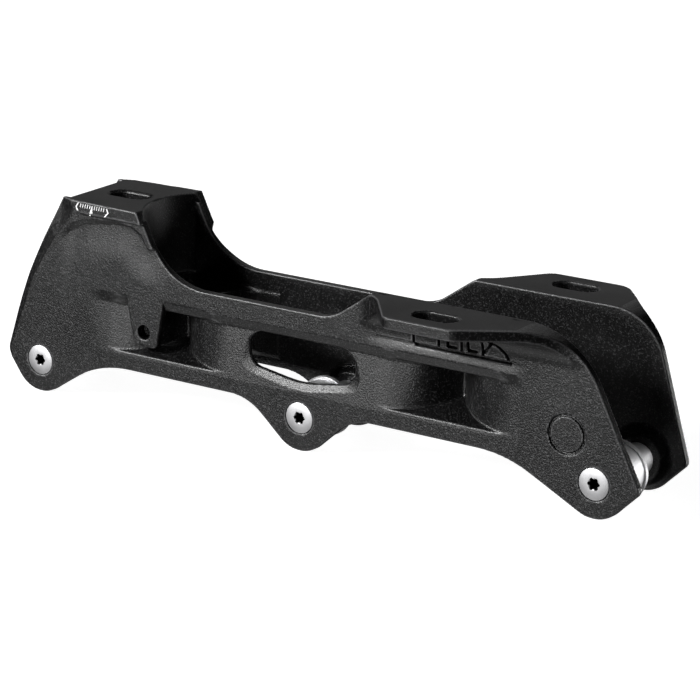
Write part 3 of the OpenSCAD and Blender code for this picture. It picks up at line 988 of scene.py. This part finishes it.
def netOf(field):
    # one vertex in each cell that the surface crosses, and one face across each crossed grid edge
    inside = field < 0
    shape = np.array(field.shape) - 1
    offsets = [(i, j, k) for i in (0, 1) for j in (0, 1) for k in (0, 1)]
    count = np.zeros(shape, np.int8)
    for i, j, k in offsets:
        count += inside[i:shape[0] + i, j:shape[1] + j, k:shape[2] + k]
    active = (count > 0) & (count < 8)
    cells = np.argwhere(active)
    number = np.full(active.shape, -1, np.int32)
    number[active] = np.arange(len(cells))
    total, hits = np.zeros((len(cells), 3)), np.zeros(len(cells))
    for a in offsets:
        for axis in range(3):
            if a[axis]:
                continue
            b = list(a)
            b[axis] = 1
            first = field[tuple((cells + a).T)]
            second = field[tuple((cells + b).T)]
            crossed = (first < 0) != (second < 0)
            share = first[crossed] / (first[crossed] - second[crossed])
            total[crossed] += np.array(a) + np.outer(share, np.array(b) - np.array(a))
            hits[crossed] += 1
    points = np.array([xs[0], ys[0], zs[0]]) + casting["gridStep"] * (cells + total / hits[:, None])
    faces = []
    for axis in range(3):
        ahead = np.roll(inside, -1, axis)
        crossed = np.argwhere(inside != ahead)
        u, v = np.eye(3, dtype=int)[(axis + 1) % 3], np.eye(3, dtype=int)[(axis + 2) % 3]
        ring = [number[tuple((crossed - step).T)] for step in (0 * u, u, u + v, v)]
        quad = np.stack(ring, axis=1)
        leaving = inside[tuple(crossed.T)]
        quad[~leaving] = quad[~leaving][:, ::-1]
        faces.append(quad)
    return points, np.concatenate(faces)


def settle(field, points):
    # moves the vertices onto the surface along its slope
    for _ in range(surface["rounds"]):
        slope = slopeOf(field, points, surface["reach"])
        size = np.maximum((slope ** 2).sum(axis=1), surface["leastSlope"])
        move = slope * (sampleField(field, points) / size)[:, None]
        points = points - np.clip(move, -surface["most"], surface["most"])
    return points


def valueAndSlope(points, reach):
    # the field at free points, from four places around each one
    around = np.array([(1, -1, -1), (-1, -1, 1), (-1, 1, -1), (1, 1, 1)]) * reach
    values = []
    for step in around:
        lookAt(*(points + step).T)
        values.append(castingField())
    values = np.array(values)
    return values.mean(axis=0), values.T @ around / (4 * reach * reach)


def linkedMesh(name, points, faces):
    mesh = bpy.data.meshes.new(name)
    mesh.from_pydata((np.asarray(points) * metre).tolist(), [], [list(map(int, f)) for f in faces])
    mesh.update()
    made = bpy.data.objects.new(name, mesh)
    scene.collection.objects.link(made)
    return made


def asPlainMesh(made):
    # turns the evaluated object into a mesh of its own, without modifiers
    graph = bpy.context.evaluated_depsgraph_get()
    mesh = bpy.data.meshes.new_from_object(made.evaluated_get(graph))
    made.modifiers.clear()
    made.data = mesh
    return made


def makeCasting():
    lookAt(xs[:, None, None], ys[None, :, None], zs[None, None, :])
    field = castingField()
    points, faces = netOf(field)
    points = settle(field, points)
    print("  surface of", len(faces), "faces")
    made = linkedMesh("castingBody", points, faces)
    thin = made.modifiers.new("thin", "DECIMATE")
    thin.ratio = min(1.0, casting["trianglesKept"] / (2 * len(faces)))
    asPlainMesh(made)
    mesh = made.data
    spots = np.empty(3 * len(mesh.vertices))
    mesh.vertices.foreach_get("co", spots)
    spots = spots.reshape(-1, 3) / metre
    value, slope = valueAndSlope(spots, surface["lastReach"])
    size = np.maximum((slope ** 2).sum(axis=1), surface["lastLeastSlope"])
    spots = spots - np.clip(slope * (value / size)[:, None], -surface["lastMost"], surface["lastMost"])
    spots = np.clip(spots, np.array(cadBox[0]) / metre, np.array(cadBox[1]) / metre)
    mesh.vertices.foreach_set("co", (spots * metre).ravel())
    slope = valueAndSlope(spots, surface["lastReach"])[1]
    slope /= np.maximum(np.linalg.norm(slope, axis=1), 1e-6)[:, None]
    # the lighter colour on sharp convex edges is a painted highlight
    sharpness = valueAndSlope(spots, surface["highlightReach"])[0] / surface["highlightReach"]
    highlightMask = mesh.attributes.new("edge", "FLOAT", "POINT")
    highlightMask.data.foreach_set("value", smoothStep(sharpness, *surface["highlightFrom"]).astype(np.float32))
    mesh.shade_smooth()
    mesh.normals_split_custom_set_from_vertices(slope.tolist())
    mesh.materials.clear()
    mesh.materials.append(coatMaterial)
    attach(made, "frame")
    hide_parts("frame_casting")


makeCasting()
print("casting is made")


# Turned pieces on the three axle lines

lathe = {"sides": 96, "lobes": 6, "sharpAngle": 28.0}


def turned(name, x, start, rings, closed, material, shadedRings=0):
    # a lathe shape along Y: each ring is how far along, the radius, and the height of the lobes on it;
    # the first few can be the inside of a socket, which gets painted shade
    sides = lathe["sides"]
    angles = np.arange(sides) * 2 * math.pi / sides
    points, loops = [], []
    for along, radius, lobes in rings:
        if radius == 0:
            loops.append([len(points)])
            points.append((x, start + along, axleZ))
            continue
        size = radius + lobes * np.cos(lathe["lobes"] * angles)
        loops.append(list(range(len(points), len(points) + sides)))
        for a, r in zip(angles, size):
            points.append((x + r * math.cos(a), start + along, axleZ + r * math.sin(a)))
    faces = []
    pairs = list(zip(loops, loops[1:] + loops[:1])) if closed else list(zip(loops, loops[1:]))
    for first, second in pairs:
        for k in range(sides):
            after = (k + 1) % sides
            corners = [first[k % len(first)], second[k % len(second)]]
            corners += [second[after % len(second)], first[after % len(first)]]
            faces.append(list(dict.fromkeys(corners)))
    made = linkedMesh(name, points, faces)
    metalPieces.objects.link(made)
    # the socket rings are marked for painted shade
    dark = sum(len(loop) for loop in loops[:shadedRings])
    shade = made.data.attributes.new("shade", "FLOAT", "POINT")
    shade.data.foreach_set("value", [float(k < dark) for k in range(len(points))])
    made.data.shade_smooth()
    made.data.set_sharp_from_angle(angle=math.radians(lathe["sharpAngle"]))
    made.data.materials.append(material)
    return made


axle = {
    "start": -18.3,
    "head": [
        (5.5, 0, 0), (5.5, 1.80, 0.28), (0.25, 1.86, 0.30), (0.0, 2.20, 0.16),
        (0.0, 5.25, 0), (0.12, 5.48, 0), (0.40, 5.61, 0), (2.85, 5.61, 0),
        (2.98, 5.45, 0), (2.98, 3.96, 0), (28.9, 3.96, 0), (29.1, 3.58, 0),
    ],
    "socketRings": 3,
    "threadFrom": 29.4,
    "threadPitch": 0.75,
    "threadTurns": 8,
    "crest": 3.95,
    "root": 3.58,
    "tail": [(35.65, 3.5, 0), (35.95, 3.1, 0), (35.95, 0, 0)],
}
spacer = {
    "start": -12.75,
    "rings": [
        (0.0, 4.12, 0), (0.0, 8.9, 0), (0.3, 9.2, 0), (3.5, 9.4, 0), (7.0, 9.65, 0), (10.45, 9.98, 0),
        (10.6, 10.1, 0), (10.62, 10.55, 0), (10.78, 10.69, 0), (12.15, 10.69, 0), (12.36, 10.5, 0),
        (12.39, 9.2, 0), (12.2, 9.0, 0), (8.7, 8.75, 0), (8.4, 8.5, 0), (8.4, 6.0, 0), (8.6, 5.62, 0),
        (14.0, 5.6, 0), (14.2, 5.3, 0), (15.0, 5.3, 0), (15.2, 5.6, 0), (25.2, 5.6, 0), (25.48, 5.35, 0),
        (25.48, 4.12, 0),
    ],
}


def makeTurned():
    thread = []
    for k in range(axle["threadTurns"]):
        along = axle["threadFrom"] + k * axle["threadPitch"]
        thread += [(along, axle["crest"], 0), (along + axle["threadPitch"] / 2, axle["root"], 0)]
    start, socketRings = axle["start"], axle["socketRings"]
    profile = axle["head"] + thread + axle["tail"]
    for name, x in (("rear", rearX), ("middle", 0.0), ("front", frontX)):
        screw = turned(name + "AxleScrew", x, start, profile, False, axleMaterial, socketRings)
        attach(screw, name + "_axle")
        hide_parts(name + "_axle")
        sleeve = turned(name + "SpacerSleeve", x, spacer["start"], spacer["rings"], True, spacerMaterial)
        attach(sleeve, name + "_spacer")
        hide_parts(name + "_spacer")


makeTurned()
print("axles and spacers are made")


# Printed tick scale on the side of the heel deck, as thin ink

scale = {
    "count": 11,
    "pointerAt": 5,
    "first": (-94.68, 61.75),  # middle of the first tick, in X and above the axles
    "step": 1.085,
    "tick": (0.30, 0.12, 1.5),
    "lean": 17.0,
    "proud": 0.03,
    "thick": 0.12,
    "marks": [
        [(-95.35, 62.7), (-95.85, 62.7), (-97.15, 61.05), (-96.45, 59.65), (-95.85, 59.65), (-96.5, 61.05)],
        [(-82.75, 62.3), (-82.2, 62.3), (-81.55, 60.9), (-83.2, 59.15), (-83.85, 59.15), (-82.2, 60.9)],
        [(-89.3, 62.35), (-89.0, 62.35), (-89.25, 59.5), (-90.6, 59.4)],
        [(-90.6, 58.95), (-90.05, 58.95), (-90.05, 58.5), (-90.6, 58.5)],
    ],
}


def tickRow(material):
    tree = bpy.data.node_groups.new("tickRow", "GeometryNodeTree")
    face = tree.interface
    face.new_socket("Geometry", in_out="INPUT", socket_type="NodeSocketGeometry")
    sockets = {}
    for name in ("Count", "Skipped"):
        sockets[name] = face.new_socket(name, in_out="INPUT", socket_type="NodeSocketInt")
    for name in ("Start", "Step", "Size", "Turn"):
        sockets[name] = face.new_socket(name, in_out="INPUT", socket_type="NodeSocketVector")
    face.new_socket("Geometry", in_out="OUTPUT", socket_type="NodeSocketGeometry")
    ins = addNode(tree, "NodeGroupInput")
    outs = addNode(tree, "NodeGroupOutput")
    row = addNode(tree, "GeometryNodeMeshLine", mode="OFFSET")
    tick = addNode(tree, "GeometryNodeMeshCube")
    index = addNode(tree, "GeometryNodeInputIndex")
    kept = addNode(tree, "FunctionNodeCompare", data_type="INT", operation="NOT_EQUAL")
    placed = addNode(tree, "GeometryNodeInstanceOnPoints")
    solid = addNode(tree, "GeometryNodeRealizeInstances")
    inked = addNode(tree, "GeometryNodeSetMaterial")
    inked.inputs["Material"].default_value = material
    link = tree.links.new
    link(ins.outputs["Count"], row.inputs["Count"])
    link(ins.outputs["Start"], row.inputs["Start Location"])
    link(ins.outputs["Step"], row.inputs["Offset"])
    link(ins.outputs["Size"], tick.inputs["Size"])
    link(index.outputs["Index"], kept.inputs["A"])
    link(ins.outputs["Skipped"], kept.inputs["B"])
    link(row.outputs["Mesh"], placed.inputs["Points"])
    link(kept.outputs["Result"], placed.inputs["Selection"])
    link(tick.outputs["Mesh"], placed.inputs["Instance"])
    link(ins.outputs["Turn"], placed.inputs["Rotation"])
    link(placed.outputs["Instances"], solid.inputs["Geometry"])
    link(solid.outputs["Geometry"], inked.inputs["Geometry"])
    link(inked.outputs["Geometry"], outs.inputs["Geometry"])
    return tree, sockets


def makeTicks(material):
    tree, sockets = tickRow(material)
    made = linkedMesh("scaleTicks", [], [])
    row = made.modifiers.new("row", "NODES")
    row.node_group = tree
    x, up = scale["first"]
    last = x + scale["step"] * (scale["count"] - 1)
    depth = scale["tick"][1] / 2 - scale["proud"]
    rise = -(deckSide(last) - deckSide(x)) / (scale["count"] - 1)
    values = {
        "Count": scale["count"],
        "Skipped": scale["pointerAt"],
        "Start": np.array([x, depth - deckSide(x), axleZ + up]) * metre,
        "Step": np.array([scale["step"], rise, 0]) * metre,
        "Size": np.array(scale["tick"]) * metre,
        "Turn": (0, math.radians(scale["lean"]), math.atan2(rise, scale["step"])),
    }
    for key, value in values.items():
        row[sockets[key].identifier] = value if isinstance(value, int) else [float(v) for v in value]
    made.update_tag()
    asPlainMesh(made)
    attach(made, "frame")


def makeMarks(material):
    points, faces = [], []
    for outline in scale["marks"]:
        first, count = len(points), len(outline)
        for depth in (-scale["proud"], scale["thick"] - scale["proud"]):
            points += [(x, depth - deckSide(x), axleZ + up) for x, up in outline]
        faces.append(list(range(first, first + count)))
        faces.append(list(range(first + 2 * count - 1, first + count - 1, -1)))
        for k in range(count):
            after = (k + 1) % count
            faces.append([first + after, first + k, first + count + k, first + count + after])
    made = linkedMesh("scaleMarks", points, faces)
    made.data.materials.append(material)
    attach(made, "frame")


ink = {
    "light": (0.92, 0.92, 0.92, 1),
    "dull": (0.75, 0.75, 0.75, 1),
    "rarity": 0.5,
    "rough": 0.55,
    "bumpShare": 0.5,  # of the coat's own depth
}


def whiteInk():
    material, tree, shader = newMaterial("white_ink")
    grain = addNode(tree, "ShaderNodeGroup", node_tree=grainGroup)
    grain.inputs["Scale"].default_value = coat["grainScale"]
    grain.inputs["Rarity"].default_value = ink["rarity"]
    colour = mixColour(tree, grain.outputs["Flecks"], ink["light"], ink["dull"])
    tree.links.new(colour, shader.inputs["Base Color"])
    shader.inputs["Roughness"].default_value = ink["rough"]
    bump = addNode(tree, "ShaderNodeBump")
    bump.inputs["Distance"].default_value = coat["bumpDepth"] * ink["bumpShare"]
    tree.links.new(grain.outputs["Height"], bump.inputs["Height"])
    tree.links.new(bump.outputs["Normal"], shader.inputs["Normal"])
    return material


inkMaterial = whiteInk()
makeTicks(inkMaterial)
makeMarks(inkMaterial)
print("tick scale is made")
